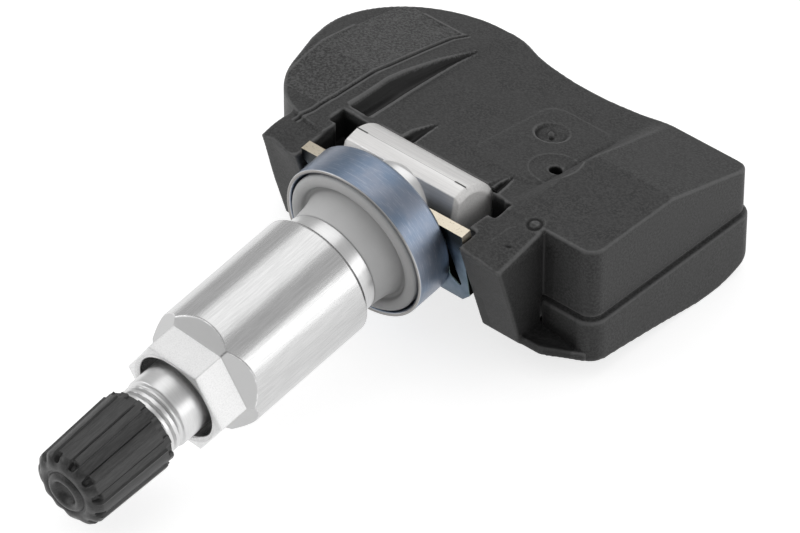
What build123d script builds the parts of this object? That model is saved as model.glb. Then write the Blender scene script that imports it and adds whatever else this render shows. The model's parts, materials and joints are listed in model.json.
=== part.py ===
from build123d import *
from math import cos, radians, sin, tan
import os

os.makedirs("parts", exist_ok=True)

# Everything is modelled about the valve's pivot: X along the foot, Y towards the housing's rear, Z up.
# The valve points forward, and distances along it are counted from the pivot.

# How the valve stands and how far it tilts
valve_tilt = 8.3
tilt_up = 2.3
tilt_down = 19.7
tilt_step = 6.0

# Housing, seen from above; cutting shapes run beyond what they cut
wall = 1.4
roof = 1.5
beyond = 2.0
block_right = 22.75
block_front = 2.2
block_rear = 27.3
block_left = 10.6
block_corner = 1.6
pocket_back = 2.6
waist_rear = 26.15
waist_x = 1.0
lobe_x = -12.0
lobe_y = 16.3
lobe_front = -0.6
lobe_flare = 17.0
lobe_corner = 9.5
lobe_waist_angle = 62.6
saddle_wall = 1.6
cheek_top = 2.6

# Housing, heights above the pivot
parting_z = -5.6
block_top = 2.9
block_kink_y = 14.8
block_rear_drop = 3.3
lobe_top = 2.7
lobe_kink_y = 10.5
lobe_slope = 0.2
centre_top = 2.8
centre_slope = 0.138
lobe_ridge_x = -11.6
centre_left_x = -9.8
centre_right_x = 10.4
ramp_right_x = 12.2

# Panel, port, dimple and wedges on the centre's roof
panel_left = 1.4
panel_right = 10.2
panel_front = 7.4
panel_rear = 20.9
panel_corner = 1.8
panel_height = 0.15
port_x = 9.7
port_y = 11.55
port_boss_radius = 2.9
port_groove = 0.2
port_radius = 0.7
dimple_x = 4.9
dimple_y = 16.55
dimple_radius = 1.75
dimple_depth = 0.35
wedge_depth = 0.4
wedge_width = 1.4
left_wedge_x = -4.0
left_wedge_length = 5.1
right_wedge_x = 7.5
right_wedge_length = 4.4
wedge_start = 4.3

# Ears that hold the clip plate
ear_inner = 11.1
ear_outer = 16.2
ear_front_slope = 0.311
ear_front_y = -4.416
ear_inner_top = 2.2
ear_outer_top = 1.3
ear_rear_top = 2.8
ear_bottom = -10.0
ear_foot_rear = 2.0
slot_depth = 1.8
slot_gap = 0.25
slot_mouth = 4.0

# Base cover
cover_step = 0.45
cover_groove = 0.35
cover_lip_inset = 0.3
cover_floor = 1.4
cover_gap = 0.4
cover_front_z = -10.9
belly_points = [(8.0, -11.6), (15.0, -12.5), (21.0, -13.1), (25.2, -12.3)]
cover_rear_y = 28.6
cover_rear_z = -10.2

# Foot, stem and bore
foot_half_length = 7.85
foot_radius = 4.8
foot_front = 2.55
foot_nose_half = 0.75
foot_top_d = 0.76
foot_top_w = 4.5
foot_strip_d = -0.93
foot_chamfer = 0.5
foot_chamfer_inward = 0.8
saddle_gap = 0.06
saddle_end_gap = 0.2
shank_radius = 4.5
shank_end = 30.0
neck_radius = 4.0
neck_end = 38.2
tip_thread_radius = 3.85
tip_chamfer = 0.4
air_radius = 1.25
core_bore_radius = 2.65
core_tube_radius = 2.05
shank_gap = 0.1

# Clip plate
plate_front = 3.9
plate_thickness = 1.3
plate_side_gap = 0.15
plate_top = 3.55
plate_tab_end_gap = 0.3
plate_tab_top = 0.6
plate_bottom = -7.3
plate_corner = 1.0
plate_notch = 0.5
plate_notch_w = 1.6
window_inset = 1.2
window_width = 1.6
window_bottom = -6.0
window_top = -1.4

# Ring, grommet, washer and nut
ring_radius = 9.1
ring_wall = 0.5
ring_floor = 0.8
ring_lip = 8.7
ring_edge = 0.4
grommet_gap = 0.12
grommet_rim_round = 0.18
grommet_rim_top = 9.05
grommet_rim_width = 1.1
grommet_groove_top = 8.65
grommet_groove_width = 0.5
grommet_cone_start = 8.95
grommet_top = 11.9
washer_radius = 5.9
washer_seat_depth = 0.35
washer_length = 2.5
nut_rim = 0.7
nut_front = 35.3
nut_seat_gap = 0.05
nut_rear_chamfer = 0.35
hex_sides = 6
hex_wall = 0.4
hex_length = 3.7
hex_ramp = 1.6
hex_turn = 24.2
nut_mouth_step = 0.3
nut_mouth_depth = 4.6
nut_thread_gap = 0.05
nut_mouth_chamfer = 0.25

# Cap and its gasket
cap_rear = 40.3
cap_end = 1.55
cap_rear_wall = 0.8
cap_front_wall = 0.47
cap_shoulder = 0.9
cap_rear_edge = 0.3
cap_thread_gap = 0.05
cap_flute_count = 12
flute_depth = 0.28
flute_width = 0.8
flute_end = 0.9
cap_boss_radius = 1.9
cap_boss_height = 0.25
cap_dimple_radius = 1.1
cap_dimple_depth = 0.7
gasket_thickness = 0.8
gasket_radius = 3.6
gasket_hole = 1.9
gasket_gap = 0.05

# Valve core
core_top = 48.4
core_sink = 0.5
core_plug_radius = 2.6
core_plug_length = 5.05
core_barrel_radius = 1.85
core_barrel_end = 36.0
core_floor = 0.8
core_bore = 1.35
pin_radius = 0.6
pin_gap = 0.05
pin_head_radius = 1.1
pin_head_length = 0.6
pin_proud = 0.3
pin_travel = 1.2
pin_collar_radius = 1.22
pin_collar_length = 0.6
spring_length = 4.6
spring_wire = 0.15
spring_turns = 6
poppet_radius = 1.75
poppet_thickness = 0.7
poppet_room = 2.15
seal_thickness = 0.6
seal_radius = 1.65
seal_gap = 0.05
core_washer_length = 0.95
core_washer_gap = 0.1
core_washer_inset = 0.02

# Battery, board and what it carries
battery_radius = 10.0
battery_gap = 1.0
battery_height = 3.2
battery_top = -5.8
battery_cap_radius = 8.8
battery_cap_step = 0.25
tab_thickness = 0.2
tab_width = 3.6
tab_reach = 0.7
tab_inset = 1.0
rib_circle = 7.5
rib_length = 3.0
rib_count = 4
board_bottom = -4.6
board_thickness = 1.0
board_gap = 0.35
post_radius = 1.1
post_places = [(19.5, 6.5), (19.5, 24.0), (4.0, 23.0), (2.5, 8.5)]
chip_side = 7.0
chip_height = 2.0
port_seal_radius = 2.4
port_seal_height = 1.0
transmitter_side = 5.0
transmitter_height = 0.9
transmitter_place = (15.0, 19.5)
crystal_length = 3.2
crystal_width = 2.5
crystal_height = 0.8
crystal_place = (8.0, 20.5)
capacitor_length = 1.6
capacitor_width = 0.8
capacitor_places = [(3.5, 12.5), (3.5, 14.5), (3.5, 16.5), (12.5, 22.5), (15.0, 23.0), (-4.0, 12.0)]
coil_place = (19.0, 12.5)
coil_length = 9.0
coil_side = 2.6
coil_flange = 0.9
coil_winding_side = 2.0
coil_core_side = 1.2
antenna_radius = 0.35
antenna_left = -4.0
antenna_right = 19.0
antenna_y = 23.8
antenna_height = 1.2
antenna_bend = 0.8

# Places worked out from the sizes above: the housing, the clip plate and the foot
along = Vector(0, -cos(radians(valve_tilt)), -sin(radians(valve_tilt)))
valve_up = Vector(0, along.Z, -along.Y)
valve_axis = Axis((0, 0, 0), along)
valve_section = Plane(origin=(0, 0, 0), x_dir=(1, 0, 0), z_dir=-valve_up)
lobe_radius = battery_radius + battery_gap + wall
saddle_back = foot_radius + saddle_gap + saddle_wall
foot_room = foot_half_length + saddle_end_gap
foot_strip_w = (foot_radius**2 - foot_strip_d**2) ** 0.5
plate_rear = plate_front - plate_thickness
plate_half_width = ear_inner - plate_side_gap
plate_tab_half_width = ear_inner + slot_depth - plate_tab_end_gap
window_x = ear_inner - window_inset
belly_bottom = min(z for _, z in belly_points)
board_top = board_bottom + board_thickness
port_seal_top = board_top + chip_height + port_seal_height
battery_seat = battery_top - battery_height - tab_thickness

# The grommet, the washer and the nut
grommet_rim_radius = ring_radius - ring_wall - grommet_gap - grommet_rim_round
grommet_groove_radius = grommet_rim_radius - grommet_rim_width
grommet_cone_radius = grommet_groove_radius - grommet_groove_width
washer_top = grommet_top + washer_length
nut_rear = washer_top - washer_seat_depth
nut_radius = washer_radius + nut_seat_gap + nut_rim + nut_rear_chamfer
nut_bore = shank_radius + nut_thread_gap
nut_mouth_radius = nut_bore + nut_mouth_step
hex_flat = nut_mouth_radius + nut_mouth_chamfer + hex_wall

# The core, and the stem's bore and tip that hold it
core_plug_rear = core_top - core_plug_length
core_bore_start = core_plug_rear - core_washer_length - core_washer_gap
core_washer_step = core_plug_radius - core_tube_radius
poppet_rear = core_barrel_end - seal_gap - seal_thickness - poppet_thickness
core_tube_start = poppet_rear - pin_travel - poppet_room - core_tube_radius + air_radius
pin_collar_rear = core_barrel_end + core_floor + spring_length
pin_top = core_top + pin_proud
stem_tip = core_top + core_sink

# The cap round the tip
cap_bore = tip_thread_radius + cap_thread_gap
cap_rear_radius = cap_bore + cap_rear_wall
cap_front_radius = cap_bore + cap_front_wall
cap_ceiling = stem_tip + gasket_gap + gasket_thickness
cap_front = cap_ceiling + cap_end


def level(z):
    """A horizontal plane at height z above the pivot."""
    return Plane.XY.offset(z)


def side(x, turn=0.0):
    """A vertical plane at x: its own x runs to the rear and its own y runs up."""
    return Plane(origin=(x, 0, 0), x_dir=(0, cos(radians(turn)), sin(radians(turn))), z_dir=(1, 0, 0))


def across_valve(d):
    """The plane that the valve crosses at distance d: its own y runs up."""
    return Plane(origin=along * d, x_dir=(1, 0, 0), z_dir=along)


def spoke(angle):
    """A plane through the valve's axis: its own x runs outwards and its own y runs along the valve."""
    out = Vector(cos(radians(angle)), 0, 0) + valve_up * sin(radians(angle))
    return Plane(origin=(0, 0, 0), x_dir=out, z_dir=out.cross(along))


def turned(*corners):
    """Turns a closed profile, given as radius and distance pairs, about the valve's axis."""
    with BuildPart(mode=Mode.PRIVATE) as body:
        with BuildSketch(valve_section):
            with BuildLine():
                Polyline(*corners, close=True)
            make_face()
        revolve(axis=valve_axis)
    return body.part


def on_lobe(angle):
    """A point on the lobe's circle, seen from above."""
    return lobe_x + lobe_radius * cos(radians(angle)), lobe_y + lobe_radius * sin(radians(angle))


def housing_outline():
    """The housing's outline from above, without its ears."""
    side_angle = 180 + lobe_flare
    side_start = on_lobe(side_angle)
    front_x = side_start[0] + (side_start[1] - lobe_front) * tan(radians(lobe_flare))
    waist_start = on_lobe(lobe_waist_angle)
    with BuildSketch(mode=Mode.PRIVATE) as outline:
        with BuildLine():
            Polyline(
                side_start,
                (front_x, lobe_front),
                (-ear_inner, lobe_front),
                (-ear_inner, pocket_back),
                (ear_inner, pocket_back),
                (ear_inner, block_front),
                (block_right, block_front),
                (block_right, block_rear),
                (block_left, block_rear),
            )
            ThreePointArc((block_left, block_rear), (waist_x, waist_rear), waist_start)
            ThreePointArc(waist_start, on_lobe((lobe_waist_angle + side_angle) / 2), side_start)
        make_face()
        fillet(outline.vertices().group_by(Axis.X)[-1], radius=block_corner)
        fillet(outline.vertices().sort_by_distance((front_x, lobe_front))[0], radius=lobe_corner)
    return outline.sketch


def cover_outline(grown, bay_wall):
    """The housing's outline, grown, with a bay at the front round the ears and the clip plate."""
    bay_rear = pocket_back + cover_gap + bay_wall
    bay_depth = bay_rear - lobe_front + beyond
    with BuildSketch(mode=Mode.PRIVATE) as outline:
        add(housing_outline())
        offset(amount=grown, mode=Mode.REPLACE)
        with Locations((0, bay_rear - bay_depth / 2)):
            Rectangle(2 * (ear_outer + cover_gap / 2 + bay_wall), bay_depth, mode=Mode.SUBTRACT)
    return outline.sketch


def roof_points(x):
    """The front, kink and rear points of the roof's line at x, as places to the rear and heights."""
    front = min(lobe_front, -foot_radius) - beyond
    rear = lobe_y + lobe_radius + beyond
    if x <= lobe_ridge_x:
        drop = (rear - lobe_kink_y) * lobe_slope
        return (front, lobe_top), (lobe_kink_y, lobe_top), (rear, lobe_top - drop)
    if x <= centre_right_x:
        heights = [centre_top - (y - pocket_back) * centre_slope for y in (front, lobe_kink_y, rear)]
        return (front, heights[0]), (lobe_kink_y, heights[1]), (rear, heights[2])
    drop = block_rear_drop * (rear - block_kink_y) / (block_rear - block_kink_y)
    return (front, block_top), (block_kink_y, block_top), (rear, block_top - drop)


def under_roof(lowered, bottom):
    """The space below the roof, lowered by a thickness, down to a level."""
    far = lobe_radius * 2 + block_right
    stations = (-far, lobe_ridge_x, centre_left_x, centre_right_x, ramp_right_x, far)
    with BuildPart(mode=Mode.PRIVATE) as space:
        for x in stations:
            front, kink, rear = roof_points(x)
            with BuildSketch(side(x)):
                with BuildLine():
                    Polyline(
                        (front[0], bottom),
                        (front[0], front[1] - lowered),
                        (kink[0], kink[1] - lowered),
                        (rear[0], rear[1] - lowered),
                        (rear[0], bottom),
                        close=True,
                    )
                make_face()
        loft(ruled=True)
    return space.part


def centre_roof(x, y):
    """The height of the centre's roof at a place."""
    return centre_top - (y - pocket_back) * centre_slope


def ear_profile(x, top_z):
    """One end of the right ear: its front leans with the valve's middle position."""
    with BuildSketch(side(x), mode=Mode.PRIVATE) as profile:
        with BuildLine():
            Polyline(
                (ear_front_y - ear_front_slope * ear_bottom, ear_bottom),
                (ear_front_y - ear_front_slope * top_z, top_z),
                (block_front, ear_rear_top),
                (pocket_back + wall, ear_rear_top),
                (pocket_back + wall, parting_z),
                (ear_foot_rear, parting_z),
                (ear_foot_rear, ear_bottom),
                close=True,
            )
        make_face()
    return profile.sketch


def plate_sweep(top):
    """The room that the clip plate needs over its whole tilt, seen from the side and open to the front."""
    steps = int((tilt_up + tilt_down) / tilt_step) + 1
    thickness = plate_thickness + slot_gap + slot_mouth
    height = top - plate_bottom + 2 * slot_gap
    middle = (-plate_rear + slot_gap - thickness / 2, (top + plate_bottom) / 2)
    with BuildSketch(mode=Mode.PRIVATE) as sweep:
        for step in range(steps + 1):
            tilt = valve_tilt - tilt_up + (tilt_up + tilt_down) * step / steps
            with Locations(Rotation(0, 0, tilt)):
                with Locations(middle):
                    Rectangle(thickness, height)
        make_hull()
    return sweep.sketch


def above_belly(raised):
    """The space above the belly's curve, raised by a thickness, and past the parting."""
    far = lobe_radius * 2 + block_right
    front = (lobe_front - beyond, cover_front_z + raised)
    rear = (cover_rear_y, cover_rear_z + raised)
    top = parting_z + beyond
    with BuildPart(mode=Mode.PRIVATE) as space:
        with BuildSketch(side(-far)):
            with BuildLine():
                Spline(front, *[(y, z + raised) for y, z in belly_points], rear)
                Polyline(rear, (rear[0] + beyond, rear[1]), (rear[0] + beyond, top), (front[0], top), front)
            make_face()
        extrude(amount=2 * far)
    return space.part


# Ear, and the slot in it, closed at the top, that clears the clip plate's tab over the whole tilt
with BuildPart() as ear:
    add(ear_profile(ear_inner, ear_inner_top))
    add(ear_profile(ear_outer, ear_outer_top))
    loft(ruled=True)

with BuildPart() as ear_slot:
    with BuildSketch(side(ear_inner)):
        add(plate_sweep(plate_tab_top))
    extrude(amount=slot_depth)

# Cheek: it fills the housing between an ear and the end of the foot
with BuildPart() as cheek:
    with BuildSketch(side(foot_room)):
        with BuildLine():
            Polyline(
                (-foot_radius, parting_z),
                (-foot_radius, cheek_top),
                (pocket_back, cheek_top),
                (pocket_back, parting_z),
                close=True,
            )
        make_face()
        add(plate_sweep(plate_top), mode=Mode.SUBTRACT)
    extrude(amount=ear_inner - foot_room)

# Hollow of the upper case, which leaves the roof, the walls and the saddle behind the foot
with BuildPart() as case_hollow:
    with BuildSketch(level(parting_z - beyond)):
        add(housing_outline())
        offset(amount=-wall, mode=Mode.REPLACE)
        with Locations((0, saddle_back / 2)):
            Rectangle(2 * (ear_inner + wall), saddle_back, mode=Mode.SUBTRACT)
    extrude(amount=block_top - parting_z + 2 * beyond)
    add(under_roof(roof, parting_z - 2 * beyond), mode=Mode.INTERSECT)

# Raised panel of the centre's roof
with BuildPart() as raised_panel:
    with BuildSketch(level(parting_z)):
        with Locations(((panel_left + panel_right) / 2, (panel_front + panel_rear) / 2)):
            RectangleRounded(panel_right - panel_left, panel_rear - panel_front, panel_corner)
    extrude(amount=block_top - parting_z + beyond)
    add(under_roof(-panel_height, parting_z - beyond), mode=Mode.INTERSECT)
    add(under_roof(roof / 2, parting_z - 2 * beyond), mode=Mode.SUBTRACT)

# Housing: upper case with the battery lobe, the block and the two ears
with BuildPart() as housing:
    with BuildSketch(level(parting_z)):
        add(housing_outline())
    extrude(amount=block_top - parting_z + beyond)
    add(under_roof(0, parting_z - beyond), mode=Mode.INTERSECT)
    add(ear.part)
    add(cheek.part)
    mirror(ear.part, about=Plane.YZ)
    mirror(cheek.part, about=Plane.YZ)
    add(ear_slot.part, mode=Mode.SUBTRACT)
    mirror(ear_slot.part, about=Plane.YZ, mode=Mode.SUBTRACT)
    add(case_hollow.part, mode=Mode.SUBTRACT)
    # Saddle for the foot's back
    with BuildSketch(side(-foot_room)):
        Circle(foot_radius + saddle_gap)
    extrude(amount=2 * foot_room, mode=Mode.SUBTRACT)
    # Panel with its dimple, and the port with its round boss inside
    add(raised_panel.part)
    with BuildSketch(level(centre_roof(dimple_x, dimple_y) + panel_height - dimple_depth)):
        with Locations((dimple_x, dimple_y)):
            Circle(dimple_radius)
    extrude(amount=roof, mode=Mode.SUBTRACT)
    port_roof = centre_roof(port_x, port_y)
    with BuildSketch(level(port_seal_top)):
        with Locations((port_x, port_y)):
            Circle(port_boss_radius)
    extrude(amount=port_roof - roof / 2 - port_seal_top)
    with BuildSketch(level(port_seal_top)):
        with Locations((port_x, port_y)):
            Circle(port_radius)
    extrude(amount=port_roof + roof - port_seal_top, mode=Mode.SUBTRACT)
    # Shallow wedges pressed into the centre's roof behind the foot
    for wedge_x, length in ((left_wedge_x, left_wedge_length), (right_wedge_x, right_wedge_length)):
        with BuildSketch(level(centre_roof(wedge_x, wedge_start) - wedge_depth)):
            with BuildLine():
                Polyline(
                    (wedge_x - wedge_width / 2, wedge_start),
                    (wedge_x + wedge_width / 2, wedge_start),
                    (wedge_x, wedge_start + length),
                    close=True,
                )
            make_face()
        extrude(amount=2 * wedge_depth, mode=Mode.SUBTRACT)
housing.part.label = "housing"

# Room inside the base cover
with BuildPart() as cover_room:
    with BuildSketch(level(belly_bottom - beyond)):
        add(cover_outline(cover_step - wall - cover_lip_inset, wall))
    extrude(amount=parting_z - belly_bottom + 2 * beyond)
    add(above_belly(cover_floor), mode=Mode.INTERSECT)

# Posts under the board and a ring of ribs under the battery
with BuildPart() as cover_posts:
    with BuildSketch(level(belly_bottom)):
        with Locations(*post_places):
            Circle(post_radius)
    extrude(amount=board_bottom - belly_bottom)
    with BuildSketch(level(belly_bottom)):
        with Locations((lobe_x, lobe_y)):
            with PolarLocations(rib_circle, rib_count, 180 / rib_count):
                Rectangle(rib_length, wall)
    extrude(amount=battery_seat - belly_bottom)
    add(above_belly(cover_floor / 2), mode=Mode.INTERSECT)

# Base cover: a deep tray with a curved belly, which stands proud of the upper case
with BuildPart() as base_cover:
    with BuildSketch(level(belly_bottom - beyond)):
        add(cover_outline(cover_step, 0))
    extrude(amount=parting_z - cover_groove - belly_bottom + beyond)
    with BuildSketch(level(parting_z - cover_groove)):
        add(cover_outline(-cover_lip_inset, 0))
    extrude(amount=cover_groove)
    add(above_belly(0), mode=Mode.INTERSECT)
    add(cover_room.part, mode=Mode.SUBTRACT)
    add(cover_posts.part)
base_cover.part.label = "base_cover"

# Valve stem: one turned and forged piece, from the foot to the threaded tip
with BuildPart() as valve_stem:
    with BuildSketch(side(-foot_half_length, valve_tilt)):
        with BuildLine():
            ThreePointArc((-foot_strip_d, foot_strip_w), (foot_radius, 0), (-foot_strip_d, -foot_strip_w))
            Polyline(
                (-foot_strip_d, -foot_strip_w),
                (-foot_top_d, -foot_top_w),
                (-foot_front, -foot_nose_half),
                (-foot_front, foot_nose_half),
                (-foot_top_d, foot_top_w),
                (-foot_strip_d, foot_strip_w),
            )
        make_face()
    extrude(amount=2 * foot_half_length)
    for end in valve_stem.faces().filter_by(Plane.YZ):
        chamfer(end.edges(), length=foot_chamfer_inward, length2=foot_chamfer, reference=end)
    add(turned(
        (0, 0),
        (shank_radius, 0),
        (shank_radius, shank_end),
        (neck_radius, shank_end + shank_radius - neck_radius),
        (neck_radius, neck_end),
        (tip_thread_radius, neck_end),
        (tip_thread_radius, stem_tip - tip_chamfer),
        (tip_thread_radius - tip_chamfer, stem_tip),
        (0, stem_tip),
    ))
    add(turned(
        (0, -2 * foot_radius),
        (air_radius, -2 * foot_radius),
        (air_radius, core_tube_start),
        (core_tube_radius, core_tube_start + core_tube_radius - air_radius),
        (core_tube_radius, core_bore_start),
        (core_bore_radius, core_bore_start + core_bore_radius - core_tube_radius),
        (core_bore_radius, stem_tip + beyond),
        (0, stem_tip + beyond),
    ), mode=Mode.SUBTRACT)
valve_stem.part.label = "valve_stem"

# Clip plate: sprung steel between the foot and the ring, with a tab in each ear's slot
with BuildPart() as clip_plate:
    with BuildSketch(across_valve(plate_rear)) as plate_face:
        with Locations((0, (plate_top + plate_bottom) / 2)):
            Rectangle(2 * plate_half_width, plate_top - plate_bottom)
        with Locations((0, (plate_tab_top + plate_bottom) / 2)):
            Rectangle(2 * plate_tab_half_width, plate_tab_top - plate_bottom)
        chamfer(plate_face.vertices().group_by(Axis.Y)[0], length=plate_corner)
        Circle(shank_radius + shank_gap, mode=Mode.SUBTRACT)
        with Locations((-plate_half_width, plate_notch_w), (plate_half_width, plate_notch_w)):
            Rectangle(2 * plate_notch, 2 * plate_notch, rotation=45, mode=Mode.SUBTRACT)
        for hand in (1, -1):
            with BuildLine():
                Polyline(
                    (hand * (window_x + window_width / 2), window_bottom),
                    (hand * (window_x - window_width / 2), window_bottom),
                    (hand * (window_x + window_width / 2), window_top),
                    close=True,
                )
            make_face(mode=Mode.SUBTRACT)
    extrude(amount=plate_thickness)
clip_plate.part.label = "clip_plate"

# Steel ring: a cup that backs the grommet
with BuildPart() as steel_ring:
    add(turned(
        (shank_radius + shank_gap, plate_front),
        (ring_radius - ring_edge, plate_front),
        (ring_radius, plate_front + ring_edge),
        (ring_radius, ring_lip - ring_edge / 2),
        (ring_radius - ring_edge / 2, ring_lip),
        (ring_radius - ring_wall, ring_lip),
        (ring_radius - ring_wall, plate_front + ring_floor),
        (shank_radius + shank_gap, plate_front + ring_floor),
    ))
steel_ring.part.label = "steel_ring"

# Grommet: the rubber seal, with a rim, a groove and a cone up to the washer
with BuildPart() as grommet:
    with BuildSketch(valve_section):
        with BuildLine():
            Polyline(
                (shank_radius + shank_gap, plate_front + ring_floor),
                (ring_radius - ring_wall - grommet_gap, plate_front + ring_floor),
                (ring_radius - ring_wall - grommet_gap, grommet_groove_top),
                (grommet_rim_radius, grommet_rim_top),
            )
            ThreePointArc(
                (grommet_rim_radius, grommet_rim_top),
                (grommet_groove_radius, grommet_groove_top),
                (grommet_cone_radius, grommet_cone_start),
            )
            Polyline(
                (grommet_cone_radius, grommet_cone_start),
                (washer_radius, grommet_top),
                (shank_radius + shank_gap, grommet_top),
                (shank_radius + shank_gap, plate_front + ring_floor),
            )
        make_face()
    revolve(axis=valve_axis)
grommet.part.label = "grommet"

# Washer: the plain bush between the grommet and the nut
with BuildPart() as nut_washer:
    add(turned(
        (shank_radius + nut_thread_gap, grommet_top + nut_seat_gap),
        (washer_radius, grommet_top + nut_seat_gap),
        (washer_radius, washer_top),
        (shank_radius + nut_thread_gap, washer_top),
    ))
nut_washer.part.label = "nut_washer"

# Collar nut: a long round nut, hexagonal at its front, with a wide mouth
with BuildPart() as collar_nut:
    add(turned(
        (nut_bore, washer_top + nut_seat_gap),
        (washer_radius + nut_seat_gap, washer_top + nut_seat_gap),
        (washer_radius + nut_seat_gap, nut_rear),
        (nut_radius - nut_rear_chamfer, nut_rear),
        (nut_radius, nut_rear + nut_rear_chamfer),
        (nut_radius, nut_front),
        (nut_mouth_radius + nut_mouth_chamfer, nut_front),
        (nut_mouth_radius, nut_front - nut_mouth_chamfer),
        (nut_mouth_radius, nut_front - nut_mouth_depth),
        (nut_bore, nut_front - nut_mouth_depth - nut_mouth_radius + nut_bore),
    ))
    # Each flat runs back to a ramp that climbs out through the round body
    ramp_start = nut_front - hex_length
    ramp_reach = hex_ramp * (nut_radius + beyond - hex_flat) / (nut_radius - hex_flat)
    for turn in range(hex_sides):
        with BuildSketch(spoke(hex_turn + 360 * turn / hex_sides)):
            with BuildLine():
                Polyline(
                    (hex_flat, nut_front + beyond),
                    (hex_flat, ramp_start),
                    (nut_radius + beyond, ramp_start - ramp_reach),
                    (nut_radius + beyond, nut_front + beyond),
                    close=True,
                )
            make_face()
        extrude(amount=nut_radius, both=True, mode=Mode.SUBTRACT)
collar_nut.part.label = "collar_nut"

# Valve cap: a fluted plastic cap with a raised ring and a dimple on its end
with BuildPart() as valve_cap:
    add(turned(
        (0, cap_ceiling),
        (gasket_radius + gasket_gap, cap_ceiling),
        (cap_bore, cap_ceiling - gasket_thickness),
        (cap_bore, cap_rear),
        (cap_rear_radius - cap_rear_edge, cap_rear),
        (cap_rear_radius, cap_rear + cap_rear_edge),
        (cap_front_radius, cap_front - cap_shoulder),
        (cap_front_radius - cap_shoulder, cap_front - cap_boss_height),
        (cap_boss_radius, cap_front - cap_boss_height),
        (cap_boss_radius - cap_boss_height, cap_front),
        (cap_dimple_radius, cap_front),
        (0, cap_front - cap_dimple_depth),
    ))
    for flute in range(cap_flute_count):
        with BuildSketch(spoke(360 * (flute + 0.5) / cap_flute_count)):
            with BuildLine():
                Polyline(
                    (cap_rear_radius - flute_depth, cap_rear + flute_end),
                    (cap_rear_radius + beyond, cap_rear + flute_end - beyond),
                    (cap_rear_radius + beyond, cap_front + beyond),
                    (cap_front_radius - flute_depth, cap_front + beyond),
                    close=True,
                )
            make_face()
        extrude(amount=flute_width / 2, both=True, mode=Mode.SUBTRACT)
valve_cap.part.label = "valve_cap"

# Cap gasket: a rubber ring that the stem's tip presses on
with BuildPart() as cap_gasket:
    add(turned(
        (gasket_hole, stem_tip + gasket_gap),
        (gasket_radius - gasket_gap, stem_tip + gasket_gap),
        (gasket_radius - gasket_gap, cap_ceiling),
        (gasket_hole, cap_ceiling),
    ))
cap_gasket.part.label = "cap_gasket"

# Valve core: a screwed brass body, its seal, the sprung pin and the poppet
with BuildPart() as core_body:
    add(turned(
        (pin_radius + pin_gap, core_barrel_end),
        (core_barrel_radius, core_barrel_end),
        (core_barrel_radius, core_plug_rear),
        (core_plug_radius, core_plug_rear),
        (core_plug_radius, core_top),
        (core_bore, core_top),
        (core_bore, core_barrel_end + core_floor),
        (pin_radius + pin_gap, core_barrel_end + core_floor),
    ))
core_body.part.label = "core_body"

with BuildPart() as core_gasket:
    add(turned(
        (core_barrel_radius, core_bore_start + core_washer_gap),
        (core_barrel_radius, core_plug_rear),
        (core_plug_radius - core_washer_inset, core_plug_rear),
        (core_plug_radius - core_washer_inset, core_bore_start + core_washer_step + core_washer_gap),
    ))
core_gasket.part.label = "core_gasket"

with BuildPart() as core_pin:
    add(turned(
        (0, poppet_rear),
        (poppet_radius, poppet_rear),
        (poppet_radius, poppet_rear + poppet_thickness),
        (pin_radius, poppet_rear + poppet_thickness),
        (pin_radius, pin_collar_rear),
        (pin_collar_radius, pin_collar_rear),
        (pin_collar_radius, pin_collar_rear + pin_collar_length),
        (pin_radius, pin_collar_rear + pin_collar_length),
        (pin_radius, pin_top - pin_head_length),
        (pin_head_radius, pin_top - pin_head_length),
        (pin_head_radius, pin_top),
        (0, pin_top),
    ))
core_pin.part.label = "core_pin"

with BuildPart() as core_seal:
    add(turned(
        (pin_radius, poppet_rear + poppet_thickness),
        (seal_radius, poppet_rear + poppet_thickness),
        (seal_radius, poppet_rear + poppet_thickness + seal_thickness),
        (pin_radius, poppet_rear + poppet_thickness + seal_thickness),
    ))
core_seal.part.label = "core_seal"

# Core spring: a coil between the body's floor and the pin's collar
spring_mean = (pin_radius + core_bore) / 2
spring_rise = pin_collar_rear - core_barrel_end - core_floor - 2 * spring_wire
with BuildPart() as core_spring:
    with BuildLine() as coil:
        Helix(
            pitch=spring_rise / spring_turns,
            height=spring_rise,
            radius=spring_mean,
            center=along * (core_barrel_end + core_floor + spring_wire),
            direction=along,
        )
    with BuildSketch(Plane(origin=coil.line @ 0, z_dir=coil.line % 0)):
        Circle(spring_wire)
    sweep()
core_spring.part.label = "core_spring"

# Battery: a sealed coin cell in the lobe
with BuildPart() as battery:
    with BuildSketch(level(battery_top - battery_height)):
        with Locations((lobe_x, lobe_y)):
            Circle(battery_radius)
    extrude(amount=battery_height - battery_cap_step)
    with BuildSketch(level(battery_top - battery_cap_step)):
        with Locations((lobe_x, lobe_y)):
            Circle(battery_cap_radius)
    extrude(amount=battery_cap_step)
battery.part.label = "battery"

# Battery tabs: strips welded to the cell's two faces, each with a leg up to the board
tab_side = Plane(origin=(lobe_x, lobe_y - tab_width / 2, 0), x_dir=(1, 0, 0), z_dir=(0, 1, 0))
tab_leg_x = battery_cap_radius - tab_inset
lower_leg_x = battery_radius + tab_reach
with BuildPart() as battery_tab_upper:
    with BuildSketch(tab_side):
        with BuildLine():
            Polyline(
                (0, -battery_top),
                (tab_leg_x, -battery_top),
                (tab_leg_x, -board_bottom),
                (tab_leg_x - tab_thickness, -board_bottom),
                (tab_leg_x - tab_thickness, -battery_top - tab_thickness),
                (0, -battery_top - tab_thickness),
                close=True,
            )
        make_face()
    extrude(amount=tab_width)
battery_tab_upper.part.label = "battery_tab_upper"

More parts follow.
